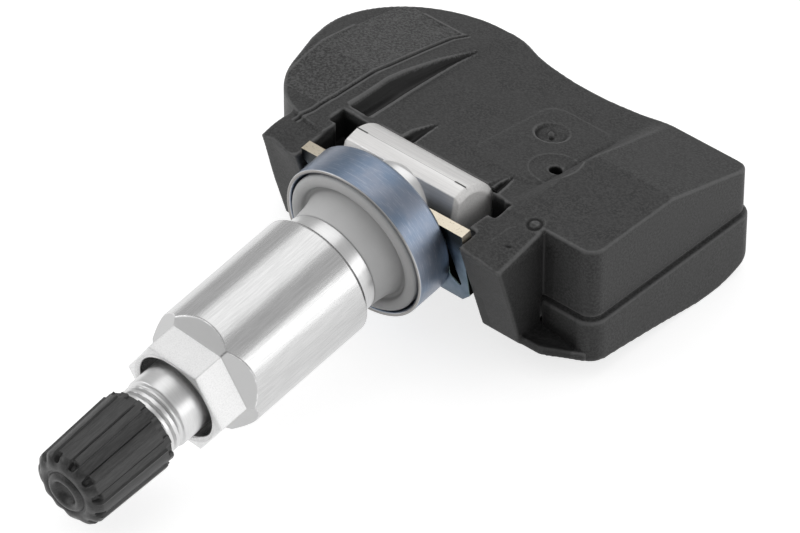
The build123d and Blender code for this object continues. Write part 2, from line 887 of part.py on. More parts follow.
with BuildPart() as battery_tab_lower:
    with BuildSketch(tab_side):
        with BuildLine():
            Polyline(
                (0, -battery_seat),
                (lower_leg_x, -battery_seat),
                (lower_leg_x, -board_bottom),
                (lower_leg_x - tab_thickness, -board_bottom),
                (lower_leg_x - tab_thickness, -battery_seat - tab_thickness),
                (0, -battery_seat - tab_thickness),
                close=True,
            )
        make_face()
    extrude(amount=tab_width)
battery_tab_lower.part.label = "battery_tab_lower"

# Circuit board
with BuildPart() as circuit_board:
    with BuildSketch(level(board_bottom)):
        add(housing_outline())
        offset(amount=-wall - board_gap, mode=Mode.REPLACE)
        with Locations((0, (saddle_back + board_gap) / 2)):
            Rectangle(2 * (ear_inner + wall + board_gap), saddle_back + board_gap, mode=Mode.SUBTRACT)
    extrude(amount=board_thickness)
circuit_board.part.label = "circuit_board"

# Pressure sensor under the port, with the soft seal that joins it to the port's boss
with BuildPart() as sensor_chip:
    with BuildSketch(level(board_top)):
        with Locations((port_x, port_y)):
            Rectangle(chip_side, chip_side)
    extrude(amount=chip_height)
sensor_chip.part.label = "sensor_chip"

with BuildPart() as port_seal:
    with BuildSketch(level(board_top + chip_height)):
        with Locations((port_x, port_y)):
            Circle(port_seal_radius)
            Circle(port_radius, mode=Mode.SUBTRACT)
    extrude(amount=port_seal_height)
port_seal.part.label = "port_seal"

# Transmitter chip, crystal and capacitors
with BuildPart() as transmitter_chip:
    with BuildSketch(level(board_top)):
        with Locations(transmitter_place):
            Rectangle(transmitter_side, transmitter_side)
    extrude(amount=transmitter_height)
transmitter_chip.part.label = "transmitter_chip"

with BuildPart() as crystal:
    with BuildSketch(level(board_top)):
        with Locations(crystal_place):
            RectangleRounded(crystal_length, crystal_width, crystal_width / 4)
    extrude(amount=crystal_height)
crystal.part.label = "crystal"

with BuildPart() as capacitors:
    with BuildSketch(level(board_top)):
        with Locations(*capacitor_places):
            Rectangle(capacitor_length, capacitor_width)
    extrude(amount=capacitor_width)
capacitors.part.label = "capacitors"

# Receiving coil: a flanged ferrite core with its winding
coil_middle = (*coil_place, board_top + coil_side / 2)
coil_waist = coil_length - 2 * coil_flange
with BuildPart() as coil_winding_room:
    with Locations(coil_middle):
        Box(coil_side, coil_waist, coil_side)
        Box(coil_core_side, coil_waist, coil_core_side, mode=Mode.SUBTRACT)

with BuildPart() as coil_core:
    with Locations(coil_middle):
        Box(coil_side, coil_length, coil_side)
    add(coil_winding_room.part, mode=Mode.SUBTRACT)
coil_core.part.label = "coil_core"

with BuildPart() as coil_winding:
    with Locations(coil_middle):
        Box(coil_winding_side, coil_waist, coil_winding_side)
        Box(coil_core_side, coil_waist, coil_core_side, mode=Mode.SUBTRACT)
coil_winding.part.label = "coil_winding"

# Antenna: a wire bridge that stands on the board along the rear wall
antenna_top = board_top + antenna_height
with BuildPart() as antenna:
    with BuildLine() as wire:
        FilletPolyline(
            (antenna_left, antenna_y, board_top),
            (antenna_left, antenna_y, antenna_top),
            (antenna_right, antenna_y, antenna_top),
            (antenna_right, antenna_y, board_top),
            radius=antenna_bend,
        )
    with BuildSketch(Plane(origin=wire.line @ 0, z_dir=wire.line % 0)):
        Circle(antenna_radius)
    sweep()
antenna.part.label = "antenna"

# The sensor stands on the floor with the middle of its box above the origin
pieces = [
    housing, base_cover, valve_stem, clip_plate, steel_ring, grommet, nut_washer, collar_nut, valve_cap, cap_gasket,
    core_body, core_gasket, core_pin, core_seal, core_spring, battery, battery_tab_upper, battery_tab_lower,
    circuit_board, sensor_chip, port_seal, transmitter_chip, crystal, capacitors, coil_core, coil_winding, antenna,
]
boxes = [piece.part.bounding_box() for piece in pieces]
pivot_place = (
    -(min(box.min.X for box in boxes) + max(box.max.X for box in boxes)) / 2,
    -(min(box.min.Y for box in boxes) + max(box.max.Y for box in boxes)) / 2,
    -min(box.min.Z for box in boxes),
)
print("pivot", pivot_place, "along the valve", tuple(along))
for piece in pieces:
    piece.part.move(Location(pivot_place))
    export_step(piece.part, f"parts/{piece.part.label}.step")
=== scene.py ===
import json
from math import atan2, cos, degrees, pi, radians, sin, sqrt

import bmesh
import bpy
import numpy as np
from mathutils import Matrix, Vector, noise
from mathutils.kdtree import KDTree


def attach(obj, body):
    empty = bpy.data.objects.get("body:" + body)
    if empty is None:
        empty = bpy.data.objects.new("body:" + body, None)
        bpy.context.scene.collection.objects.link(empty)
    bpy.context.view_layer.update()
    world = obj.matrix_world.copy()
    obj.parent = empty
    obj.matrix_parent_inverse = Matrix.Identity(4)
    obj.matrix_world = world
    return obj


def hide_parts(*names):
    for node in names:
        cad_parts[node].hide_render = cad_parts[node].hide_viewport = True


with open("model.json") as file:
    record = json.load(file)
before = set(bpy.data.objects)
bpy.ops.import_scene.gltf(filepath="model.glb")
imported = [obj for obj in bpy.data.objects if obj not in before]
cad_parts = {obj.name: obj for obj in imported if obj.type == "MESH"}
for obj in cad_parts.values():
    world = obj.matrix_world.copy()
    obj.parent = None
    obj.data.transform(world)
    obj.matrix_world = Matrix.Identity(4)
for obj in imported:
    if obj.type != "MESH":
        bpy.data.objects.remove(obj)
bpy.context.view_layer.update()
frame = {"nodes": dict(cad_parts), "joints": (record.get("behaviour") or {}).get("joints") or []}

# The frame's own places, in metres: the valve's pivot and the way it points
joints = {joint["name"]: joint for joint in frame["joints"]}
pivot = Vector(joints["valve_tilt"]["pos_m"])
along = Vector(joints["nut_turn"]["axis"]).normalized()
right = Vector((1, 0, 0))
valve_up = along.cross(right)
mm = 0.001

# The sizes below are in millimetres. Places, and distances along the valve, count from the pivot.

# Valve: radii, and distances from its foot to its cap
shank_radius = 4.5
bore_radius = 4.6
foot_radius = 4.8
foot_strip = -0.93
foot_half = 7.85
plate_rear, plate_front = 2.6, 3.9
ring_floor, ring_lip = 4.7, 8.7
washer_rear, washer_front = 11.95, 14.4
nut_bore, nut_radius, nut_flats = 4.55, 7.0, 5.5
nut_rear, ramp_start, nut_front = 14.05, 31.6, 35.3
hexagon_turn = 24.2
thread_pitch = 25.4 / 32
thread_crest, thread_root = 3.85, 3.42
tip_end = 48.9
cap_rear = 40.3
cap_flutes = 12
cap_steps = 480

# Housing: the eroded patch on its lobe, the pockets beside the foot, and the marks on its roof
patch_x = (-22.0, -14.4)
patch_y = (2.6, 24.05)
pockets = (
    ((-11.25, -2.6, -2.2), (-8.05, 3.6, 5.0)), ((-12.35, 1.35, -1.0), (-10.0, 3.55, 5.0)),
    ((8.05, -2.6, -2.2), (10.0, 3.4, 5.0)), ((9.0, 0.6, -1.0), (11.1, 3.2, 5.0)),
)
web = ((15.6, -1.3, -8.9), (18.9, -1.2, -8.9), (22.2, 1.9, -9.9), (22.2, 3.4, -9.9), (15.6, 3.4, -8.9))
port_place = (9.705, 11.55)
dimple_place = (4.905, 16.55)
ear_mark_place = (14.9, 2.3)
ear_slit_place = (14.75, -1.58)

# Lines on the roof, each as (x, y) points in the order of their Y
patch_edge = (
    (-14.95, -1.4), (-14.74, 3.2), (-14.61, 7.25), (-14.39, 12.4), (-14.42, 18.0), (-14.35, 22.3), (-13.7, 24.3),
)
patch_left = ((-20.9, 4.5), (-21.43, 7.3), (-22.0, 12.0), (-22.2, 16.2))
ear_fold = ((12.9, -2.2), (13.0, -0.4), (13.1, 0.3), (13.6, 1.0))

# Hollows in the roof: the line that each falls steeply from, the line that it rises to, and its depths
scoops = (
    (((-12.45, 4.4), (-12.33, 8.5), (-12.38, 13.0), (-11.85, 18.0), (-10.6, 23.6)),
     ((-9.63, 4.4), (-10.02, 9.8), (-10.32, 14.7), (-10.6, 19.6), (-10.6, 23.6)), (1.1, 1.1, 0.95, 0.55, 0.0)),
    (((-4.85, 4.2), (-4.9, 6.0), (-3.9, 9.5)),
     ((-3.3, 4.2), (-3.6, 6.6), (-3.9, 9.5)), (0.45, 0.45, 0.0)),
    (((7.35, 3.6), (7.35, 5.6), (7.75, 7.6)),
     ((8.7, 3.6), (8.3, 5.5), (7.75, 7.6)), (0.55, 0.5, 0.0)),
)


def on_valve(distance, radius, angle):
    """A point about the valve's axis, in metres."""
    out = right * cos(angle) + valve_up * sin(angle)
    return pivot + (along * distance + out * radius) * mm


# Node graphs

class Nodes:
    """The nodes of a material or of the world."""

    def __init__(self, tree):
        self.tree = tree

    def node(self, kind):
        return self.tree.nodes.new("ShaderNode" + kind)

    def join(self, value, socket):
        if isinstance(value, bpy.types.NodeSocket):
            self.tree.links.new(value, socket)
        else:
            socket.default_value = value

    def math(self, operation, *values):
        node = self.node("Math")
        node.operation = operation
        for value, socket in zip(values, node.inputs):
            self.join(value, socket)
        return node.outputs[0]

    def times(self, first, *others):
        for other in others:
            first = self.math("MULTIPLY", first, other)
        return first


class Graph(Nodes):
    """A material's nodes, with places given in millimetres from the valve's pivot."""

    def __init__(self, name, roughness=0.5, metallic=0.0):
        self.material = bpy.data.materials.new(name)
        self.material.use_nodes = True
        super().__init__(self.material.node_tree)
        self.shader = self.tree.nodes["Principled BSDF"]
        self.shader.inputs["Roughness"].default_value = roughness
        self.shader.inputs["Metallic"].default_value = metallic
        where = self.node("TexCoord").outputs["Object"]
        scaled = self.node("VectorMath")
        scaled.operation = "SCALE"
        self.join(self.vector("SUBTRACT", where, tuple(pivot)), scaled.inputs[0])
        scaled.inputs["Scale"].default_value = 1 / mm
        self.place = scaled.outputs[0]
        split = self.node("SeparateXYZ")
        self.join(self.place, split.inputs[0])
        self.x, self.y, self.z = split.outputs

    def vector(self, operation, *values):
        node = self.node("VectorMath")
        node.operation = operation
        for value, socket in zip(values, node.inputs):
            self.join(value, socket)
        return node.outputs[1] if operation == "DOT_PRODUCT" else node.outputs[0]

    def beside(self):
        """The distance from the valve's middle plane, to either side."""
        return self.math("ABSOLUTE", self.x)

    def distance_along(self):
        return self.vector("DOT_PRODUCT", self.place, tuple(along))

    def height_over_valve(self):
        return self.vector("DOT_PRODUCT", self.place, tuple(valve_up))

    def radius(self):
        """The distance from the valve's axis."""
        up = self.height_over_valve()
        return self.math("SQRT", self.math("ADD", self.times(self.x, self.x), self.times(up, up)))

    def step(self, value, start, end):
        """Rises smoothly from 0 at start to 1 at end."""
        node = self.node("MapRange")
        node.interpolation_type = "SMOOTHSTEP"
        self.join(value, node.inputs["Value"])
        self.join(start, node.inputs["From Min"])
        self.join(end, node.inputs["From Max"])
        return node.outputs["Result"]

    def within(self, value, low, high, soft):
        """1 between low and high, 0 outside, with soft ends."""
        return self.times(self.step(value, low - soft, low), self.step(value, high + soft, high))

    def noise(self, scale, detail=2.0, rough=0.5, stretch=None):
        """Noise with scale features to the millimetre, or stretched along the valve's own axes."""
        node = self.node("TexNoise")
        node.inputs["Scale"].default_value = scale
        node.inputs["Detail"].default_value = detail
        node.inputs["Roughness"].default_value = rough
        place = self.place
        if stretch:
            turned = self.node("CombineXYZ")
            for value, factor, socket in zip((self.x, self.distance_along(), self.height_over_valve()), stretch,
                                             turned.inputs):
                self.join(self.times(value, factor), socket)
            place = turned.outputs[0]
        self.join(place, node.inputs["Vector"])
        return node.outputs["Fac"]

    def mix(self, factor, first, second):
        """A colour that runs from first to second."""
        node = self.node("Mix")
        node.data_type = "RGBA"
        self.join(factor, node.inputs[0])
        self.join(first, node.inputs[6])
        self.join(second, node.inputs[7])
        return node.outputs[2]

    def blend(self, factor, first, second):
        """A number that runs from first to second."""
        node = self.node("MapRange")
        self.join(factor, node.inputs["Value"])
        self.join(first, node.inputs["To Min"])
        self.join(second, node.inputs["To Max"])
        return node.outputs["Result"]

    def bump(self, height, depth):
        """Bumps of a depth in millimetres, over any bumps set before."""
        node = self.node("Bump")
        node.inputs["Strength"].default_value = 1.0
        node.inputs["Distance"].default_value = depth * mm
        self.join(height, node.inputs["Height"])
        normal = self.shader.inputs["Normal"]
        if normal.is_linked:
            self.join(normal.links[0].from_socket, node.inputs["Normal"])
        self.join(node.outputs[0], normal)

    def paint(self, colour):
        self.join(colour, self.shader.inputs["Base Color"])

    def gloss(self, roughness):
        self.join(roughness, self.shader.inputs["Roughness"])

    def specular(self, level):
        self.shader.inputs["Specular IOR Level"].default_value = level


def grey(level, warm=0.0):
    """A nearly neutral colour."""
    return (level * (1 + warm), level, level * (1 - warm), 1.0)


# Materials

def eroded_patch(graph, tone):
    """Adds the lobe's spark-eroded patch, which ends where the lobe's top rolls over."""
    fall_from, fall, roll_from, roll_to, soft = 10.5, 0.2, 1.2, 2.0, 0.12
    fallen = graph.times(graph.math("MAXIMUM", graph.math("SUBTRACT", graph.y, fall_from), 0.0), fall)
    on_top = graph.step(graph.math("ADD", graph.z, fallen), roll_from, roll_to)
    patch = graph.times(graph.within(graph.x, *patch_x, soft), on_top, graph.within(graph.y, *patch_y, soft))
    grain = graph.noise(3.6, detail=3.0, rough=0.7)
    patch_tone = graph.mix(graph.step(grain, 0.36, 0.66), grey(0.026), grey(0.10))
    graph.bump(graph.times(grain, patch), 0.12)
    return graph.mix(patch, tone, patch_tone)


def painted_shade_places(graph):
    """How strongly shade is painted into the plastic's colour in the pockets beside the foot, on the right ear's
    front and on the web below it.
    """
    ear_share, web_share = 0.45, 0.6
    yield graph.times(graph.within(graph.beside(), 7.9, 12.4, 0.1), graph.within(graph.y, -2.8, 3.8, 0.1),
                      graph.step(graph.z, 2.2, 1.4))
    yield graph.times(graph.within(graph.x, 10.9, 17.4, 0.3), graph.step(graph.y, 2.6, 2.2),
                      graph.step(graph.z, 1.4, 0.6), ear_share)
    yield graph.times(graph.within(graph.x, 16.4, 21.0, 0.2), graph.step(graph.z, -8.0, -8.6),
                      graph.step(graph.y, 2.2, 1.6), web_share)


def case_plastic(name, marked):
    """Dark glass-filled plastic: a fine grain, chipped pale edges, painted highlights on the roof's lines and
    painted shade in the hollows, creases and pockets.
    """
    shadow, chip_and_highlight_tone = grey(0.004), grey(0.15)
    graph = Graph(name)
    graph.specular(0.3)
    fine = graph.noise(4.0, detail=4.0, rough=0.7)
    broad = graph.noise(0.35)
    tone = graph.mix(graph.step(fine, 0.4, 0.62), grey(0.022), grey(0.058))
    tone = graph.mix(graph.times(graph.step(broad, 0.35, 0.65), 0.4), tone, grey(0.052))
    if marked:
        tone = eroded_patch(graph, tone)
    worn = graph.node("Attribute")
    # The attribute holds pale worn edges and painted highlights above 0, and painted shade in hollows and creases
    # below 0
    worn.attribute_name = "wear_and_shade"
    wear_and_shade = worn.outputs["Fac"]
    chips = graph.blend(graph.noise(3.0, detail=4.0, rough=0.7), 0.3, 1.0)
    # Pale chipped edges, with painted highlights on the roof's ridges, rims and the ear's fold
    tone = graph.mix(graph.times(graph.step(wear_and_shade, 0.0, 1.0), chips), tone, chip_and_highlight_tone)
    # Painted shade: hollows, creases and the roof's dark marks darken towards black
    tone = graph.mix(graph.step(wear_and_shade, 0.0, -1.0), tone, shadow)
    open_to_sky = graph.node("AmbientOcclusion")
    open_to_sky.samples = 6
    open_to_sky.only_local = True
    open_to_sky.inputs["Distance"].default_value = 5 * mm
    # Painted shade: the colour darkens towards black where ambient occlusion finds the plastic closed in, and in
    # the places above
    painted_shade = graph.step(open_to_sky.outputs["AO"], 0.62, 0.2)
    for place in painted_shade_places(graph):
        painted_shade = graph.math("MAXIMUM", painted_shade, place)
    graph.paint(graph.mix(graph.times(painted_shade, 0.9), tone, shadow))
    graph.gloss(graph.blend(broad, 0.46, 0.58))
    graph.bump(fine, 0.018)
    return graph.material


def satin_metal(name, level, roughness, line_depth=0.006, speckle=0.0):
    """Light metal with fine lines turned round the valve."""
    graph = Graph(name, metallic=1.0)
    lines = graph.noise(1.0, detail=4.0, rough=0.65, stretch=(0.5, 7.0, 0.5))
    broad = graph.noise(0.5)
    tone = graph.mix(graph.step(lines, 0.3, 0.7), grey(level * 0.93), grey(level))
    if speckle:
        dots = graph.noise(5.0, detail=4.0, rough=0.75)
        tone = graph.mix(graph.step(dots, 0.62, 0.74), tone, grey(level * speckle))
    graph.paint(tone)
    graph.gloss(graph.blend(broad, roughness - 0.04, roughness + 0.05))
    graph.bump(lines, line_depth)
    return graph.material


def nut_metal():
    """The collar nut: drawn satin body, matt flats, smoother ramps and patchy worn edges round them."""
    ramps_from, ramp_edge, soft = 29.0, 6.97, 0.05
    graph = Graph("nut_aluminium", metallic=1.0)
    lines = graph.noise(1.0, detail=4.0, rough=0.65, stretch=(5.0, 0.3, 5.0))
    dots = graph.noise(8.0, detail=3.0, rough=0.6)
    distance = graph.distance_along()
    radius = graph.radius()
    flats = graph.times(graph.step(distance, ramp_start - soft, ramp_start + soft), graph.step(radius, 5.3, 5.45))
    ramps = graph.times(graph.step(radius, ramp_edge, 6.9), graph.within(distance, ramps_from, ramp_start, soft))
    tone = graph.mix(graph.step(lines, 0.3, 0.7), grey(0.56), grey(0.64))
    tone = graph.mix(flats, tone, graph.mix(graph.step(dots, 0.4, 0.68), grey(0.87), grey(0.78)))
    ragged = graph.math("ADD", radius, graph.times(graph.noise(1.6, detail=4.0, rough=0.7), 0.12))
    worn_edge = graph.times(graph.within(ragged, ramp_edge, 7.01, 0.03),
                            graph.within(distance, ramps_from + 0.2, ramp_start, soft))
    tone = graph.mix(ramps, tone, grey(0.52))
    patchy = graph.blend(graph.step(graph.noise(0.9, detail=3.0, rough=0.7), 0.48, 0.6), 0.1, 0.7)
    tone = graph.mix(graph.times(worn_edge, patchy), tone, grey(0.86))
    scuff = graph.step(graph.noise(1.3, detail=6.0, rough=0.8), 0.69, 0.74)
    graph.paint(graph.mix(graph.times(scuff, 0.5), tone, grey(0.42)))
    graph.gloss(graph.math("ADD", graph.blend(flats, 0.26, 0.55), graph.times(ramps, 0.1)))
    graph.bump(lines, 0.005)
    graph.bump(graph.times(dots, flats), 0.012)
    return graph.material


def blued_metal():
    """The steel ring: blued, brushed round, with a bright worn lip."""
    graph = Graph("blued_steel", roughness=0.36, metallic=1.0)
    scratches = graph.noise(1.0, detail=5.0, rough=0.7, stretch=(0.6, 11.0, 0.6))
    cloud = graph.noise(0.28, detail=3.0, rough=0.55)
    tone = graph.mix(graph.step(cloud, 0.3, 0.7), (0.17, 0.225, 0.31, 1), (0.25, 0.28, 0.345, 1))
    tone = graph.mix(graph.times(graph.step(scratches, 0.5, 0.72), 0.42), tone, (0.50, 0.53, 0.60, 1))
    distance = graph.distance_along()
    lip = graph.step(distance, ring_lip - 0.16, ring_lip - 0.06)
    tone = graph.mix(lip, tone, grey(0.30, 0.03))
    worn = graph.within(distance, ring_lip - 0.13, ring_lip - 0.09, 0.05)
    graph.paint(graph.mix(graph.times(worn, 0.5), tone, grey(0.75)))
    graph.bump(scratches, 0.013)
    return graph.material


def grommet_rubber():
    """Mid-grey rubber, softly matt, with painted shade in its groove."""
    graph = Graph("grey_rubber", roughness=0.55)
    cloud = graph.noise(0.6, detail=3.0)
    in_groove = graph.times(graph.within(graph.radius(), 6.5, 6.95, 0.2),
                            graph.step(graph.distance_along(), 9.3, 8.7))
    tone = graph.mix(cloud, grey(0.57), grey(0.63))
    # Painted shade: darker in the groove between the rim and the cone
    graph.paint(graph.mix(graph.times(in_groove, 0.45), tone, grey(0.3)))
    graph.specular(0.35)
    graph.bump(graph.noise(9.0), 0.004)
    return graph.material


def cap_plastic():
    """Black plastic, with fine drag lines along the flutes."""
    graph = Graph("cap_plastic")
    lines = graph.noise(1.0, detail=4.0, rough=0.65, stretch=(5.0, 0.5, 5.0))
    grain = graph.noise(8.0, detail=3.0)
    graph.paint(graph.mix(graph.step(lines, 0.35, 0.7), grey(0.026), grey(0.052)))
    graph.gloss(graph.blend(grain, 0.30, 0.44))
    for height in (lines, grain):
        graph.bump(height, 0.012)
    return graph.material


def clip_metal():
    """The clip plate: speckled pale gold top edges, steel-blue faces with painted shade darkening them towards the
    top, and pale blue rims in the windows.
    """
    graph = Graph("clip_steel", roughness=0.38, metallic=1.0)
    normal = graph.node("NewGeometry").outputs["True Normal"]
    facing = graph.math("ABSOLUTE", graph.vector("DOT_PRODUCT", normal, tuple(along)))
    height = graph.height_over_valve()
    cloud = graph.noise(0.8, detail=3.0)
    face_tone = graph.mix(cloud, (0.05, 0.09, 0.11, 1), (0.20, 0.24, 0.31, 1))
    # Painted shade: the face darkens to near black towards its top, deep between the ears
    face_tone = graph.mix(graph.step(height, 0.2, 2.6), face_tone, (0.02, 0.025, 0.028, 1))
    speckle = graph.step(graph.noise(4.0, detail=4.0, rough=0.75), 0.56, 0.68)
    edge_tone = graph.mix(cloud, (0.62, 0.55, 0.44, 1), (0.74, 0.68, 0.56, 1))
    edge_tone = graph.mix(graph.times(speckle, 0.7), edge_tone, (0.26, 0.22, 0.16, 1))
    at_face = graph.step(graph.distance_along(), plate_front - 0.16, plate_front - 0.06)
    lower_edge = graph.mix(at_face, grey(0.01), (0.42, 0.58, 0.58, 1))
    edge_tone = graph.mix(graph.step(height, 2.7, 2.4), edge_tone, lower_edge)
    graph.paint(graph.mix(graph.step(facing, 0.9, 0.5), face_tone, edge_tone))
    graph.bump(graph.noise(6.0, detail=3.0), 0.01)
    return graph.material


def foot_metal():
    """The foot: bright milled aluminium, with a seam and two nicks on the strip's rear edge, and matt ends."""
    graph = Graph("foot_aluminium", metallic=1.0)
    lines = graph.noise(1.0, detail=4.0, rough=0.7, stretch=(0.15, 5.0, 5.0))
    spots = graph.noise(2.2, detail=6.0, rough=0.8)
    tone = graph.mix(graph.step(lines, 0.3, 0.7), grey(0.76, 0.01), grey(0.86, 0.01))
    tone = graph.mix(graph.times(graph.step(spots, 0.66, 0.74), 0.5), tone, grey(0.5))
    distance = graph.distance_along()
    above = graph.step(graph.height_over_valve(), 4.3, 4.5)
    seam = graph.times(graph.within(distance, foot_strip - 0.01, foot_strip + 0.01, 0.05), above)
    tone = graph.mix(graph.times(seam, 0.55), tone, grey(0.16))
    nicks = graph.times(graph.within(distance, foot_strip - 0.05, foot_strip + 0.05, 0.06), above,
                        graph.within(graph.beside(), 6.0, 7.3, 0.15))
    graph.paint(graph.mix(nicks, tone, grey(0.10)))
    graph.gloss(graph.blend(graph.step(graph.beside(), 7.3, 7.5), 0.5, 0.75))
    graph.bump(lines, 0.008)
    graph.bump(graph.times(nicks, -1.0), 0.15)
    return graph.material


def plain(name, colour, roughness, metallic=0.0, depth=0.004):
    """A small inner piece's material: a little colour variation and a fine grain."""
    darkening = 0.12
    graph = Graph(name, roughness=roughness, metallic=metallic)
    darker = tuple(channel * (1 - darkening) for channel in colour[:3]) + (1.0,)
    graph.paint(graph.mix(graph.noise(1.5), darker, colour))
    graph.bump(graph.noise(6.0, detail=3.0), depth)
    return graph.material


# Mesh helpers

def add_object(name, data):
    item = bpy.data.objects.new(name, data)
    bpy.context.scene.collection.objects.link(item)
    return item


def finish_mesh(mesh, sharp):
    """Outward faces, smooth shading and sharp edges past an angle."""
    work = bmesh.new()
    work.from_mesh(mesh)
    bmesh.ops.remove_doubles(work, verts=work.verts, dist=1e-7)
    bmesh.ops.recalc_face_normals(work, faces=work.faces)
    work.to_mesh(mesh)
    work.free()
    mesh.shade_smooth()
    mesh.set_sharp_from_angle(angle=radians(sharp))


def new_piece(name, vertices, faces, material, sharp):
    mesh = bpy.data.meshes.new(name)
    mesh.from_pydata(vertices, [], faces)
    mesh.update()
    mesh.materials.append(material)
    finish_mesh(mesh, sharp)
    return add_object(name, mesh)


def modified(piece, kind, **settings):
    """Gives a piece the mesh that a modifier makes of it."""
    modifier = piece.modifiers.new("change", kind)
    for name, value in settings.items():
        setattr(modifier, name, value)
    depsgraph = bpy.context.evaluated_depsgraph_get()
    mesh = bpy.data.meshes.new_from_object(piece.evaluated_get(depsgraph))
    piece.modifiers.clear()
    piece.data = mesh


def bevelled(piece, angle):
    """Rounds a piece's edges that are sharper than an angle."""
    modified(piece, "BEVEL", width=0.1 * mm, segments=2, limit_method="ANGLE", angle_limit=radians(angle))


def rounded(corners, radius, closed=True):
    """A profile of (radius, distance) corners, each rounded off by a short curve."""
    segments, straight = 3, radians(165)
    count = len(corners)
    points = []
    for index, corner in enumerate(corners):
        here = Vector(corner)
        if not closed and index in (0, count - 1):
            points.append(here)
            continue
        before = Vector(corners[index - 1]) - here
        after = Vector(corners[(index + 1) % count]) - here
        if before.angle(after) > straight:
            points.append(here)
            continue
        reach = min(radius, before.length * 0.45, after.length * 0.45)
        start = here + before.normalized() * reach
        end = here + after.normalized() * reach
        for piece in range(segments + 1):
            share = piece / segments
            points.append(start.lerp(here, share).lerp(here.lerp(end, share), share))
    return [(point.x, point.y) for point in points]


def spun(rings, steps, closed=True):
    """Vertices and faces of rings about the valve; each ring is a distance and a radius or its function."""
    vertices = []
    faces = []
    for distance, radius in rings:
        for step in range(steps):
            angle = 2 * pi * step / steps
            size = radius(angle) if callable(radius) else radius
            vertices.append(on_valve(distance, size, angle))
    last = len(rings) if closed else len(rings) - 1
    for ring in range(last):
        other = (ring + 1) % len(rings)
        for step in range(steps):
            follow = (step + 1) % steps
            faces.append((ring * steps + step, ring * steps + follow, other * steps + follow, other * steps + step))
    return vertices, faces


def as_rings(profile):
    """The rings of a profile of (radius, distance) corners."""
    return [(distance, radius) for radius, distance in profile]


def turned(name, corners, material, soft=0.12, sharp=35.0):
    """A turned piece from a closed profile of (radius, distance) corners."""
    vertices, faces = spun(as_rings(rounded(corners, soft)), 160)
    return new_piece(name, vertices, faces, material, sharp)


def soft_min(first, second, blend):
    share = min(max(0.5 + 0.5 * (second - first) / blend, 0.0), 1.0)
    return second + (first - second) * share - blend * share * (1 - share)


def stand_in(piece, node, body):
    """The piece shows in place of a node, and moves with its body."""
    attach(piece, body)
    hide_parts(node)


def cad_copy(node):
    """A joined-up copy of a node's mesh."""
    mesh = frame["nodes"][node].data.copy()
    mesh.materials.clear()
    work = bmesh.new()
    work.from_mesh(mesh)
    bmesh.ops.remove_doubles(work, verts=work.verts, dist=1e-6)
    bmesh.ops.dissolve_limit(work, angle_limit=radians(0.5), verts=work.verts, edges=work.edges)
    bmesh.ops.recalc_face_normals(work, faces=work.faces)
    work.to_mesh(mesh)
    work.free()
    return add_object(node + "_shown", mesh)


def mesh_array(values, name, width):
    """A mesh's vertex values as an array."""
    array = np.empty(len(values) * width)
    values.foreach_get(name, array)
    return array.reshape(-1, width)


def from_pivot(places):
    """The x, y and z of places in metres, in millimetres from the pivot."""
    return ((places - np.array(pivot)) / mm).T


def move_vertices(mesh, places):
    mesh.vertices.foreach_set("co", places.ravel())
    mesh.update()


def neighbour_means(mesh):
    """A function that gives, for values at the vertices, the mean over each vertex's neighbours."""
    count = len(mesh.vertices)
    ends = np.empty(len(mesh.edges) * 2, dtype=np.int64)
    mesh.edges.foreach_get("vertices", ends)
    first, second = ends[0::2], ends[1::2]
    degree = np.maximum(np.bincount(first, minlength=count) + np.bincount(second, minlength=count), 1)

    def means(values):
        total = np.zeros_like(values)
        for column in range(values.shape[1]):
            total[:, column] = np.bincount(first, weights=values[second, column], minlength=count)
            total[:, column] += np.bincount(second, weights=values[first, column], minlength=count)
        return total / degree[:, None]
    return means


def relaxed(mesh, passes):
    """Evens out a mesh: each vertex moves halfway to the middle of its neighbours."""
    places = mesh_array(mesh.vertices, "co", 3)
    means = neighbour_means(mesh)
    for _ in range(passes):
        places += (means(places) - places) * 0.5
    move_vertices(mesh, places)


def edge_wear_and_crease_shade(mesh, voxel):
    """1 on a mesh's convex edges and -1 in its hollow ones, from how far it bends at each vertex: the convex side
    gives pale worn edges, the hollow side painted shade.
    """
    least, span = 0.35, 1.7
    means = neighbour_means(mesh)
    places = mesh_array(mesh.vertices, "co", 3)
    normals = mesh_array(mesh.vertices, "normal", 3)
    bend = ((places - means(places)) * normals).sum(axis=1, keepdims=True) / mm * 4 / voxel**2
    for _ in range(3):
        bend = means(bend)
    return (np.clip((np.abs(bend) - least) / span, 0.0, 1.0) * np.sign(bend))[:, 0]


def cut_box(piece, low, high):
    """Cuts a box, given by its corners, out of a piece."""
    mesh = bpy.data.meshes.new("cutter")
    work = bmesh.new()
    bmesh.ops.create_cube(work, size=1.0)
    for vertex in work.verts:
        share = vertex.co + Vector((0.5, 0.5, 0.5))
        place = [start + (end - start) * part for start, end, part in zip(low, high, share)]
        vertex.co = pivot + Vector(place) * mm
    work.to_mesh(mesh)
    work.free()
    cutter = add_object("cutter", mesh)
    modified(piece, "BOOLEAN", operation="DIFFERENCE", object=cutter)
    bpy.data.objects.remove(cutter)


def add_prism(piece, first, last):
    """Adds a prism between two outlines of (x, y, z) points."""
    work = bmesh.new()
    work.from_mesh(piece.data)
    ends = [[work.verts.new(pivot + Vector(point) * mm) for point in outline] for outline in (first, last)]
    made = [work.faces.new(ends[0]), work.faces.new(reversed(ends[1]))]
    for index in range(len(first)):
        made.append(work.faces.new((ends[0][index - 1], ends[1][index - 1], ends[1][index], ends[0][index])))
    bmesh.ops.recalc_face_normals(work, faces=made)
    work.to_mesh(piece.data)
    work.free()


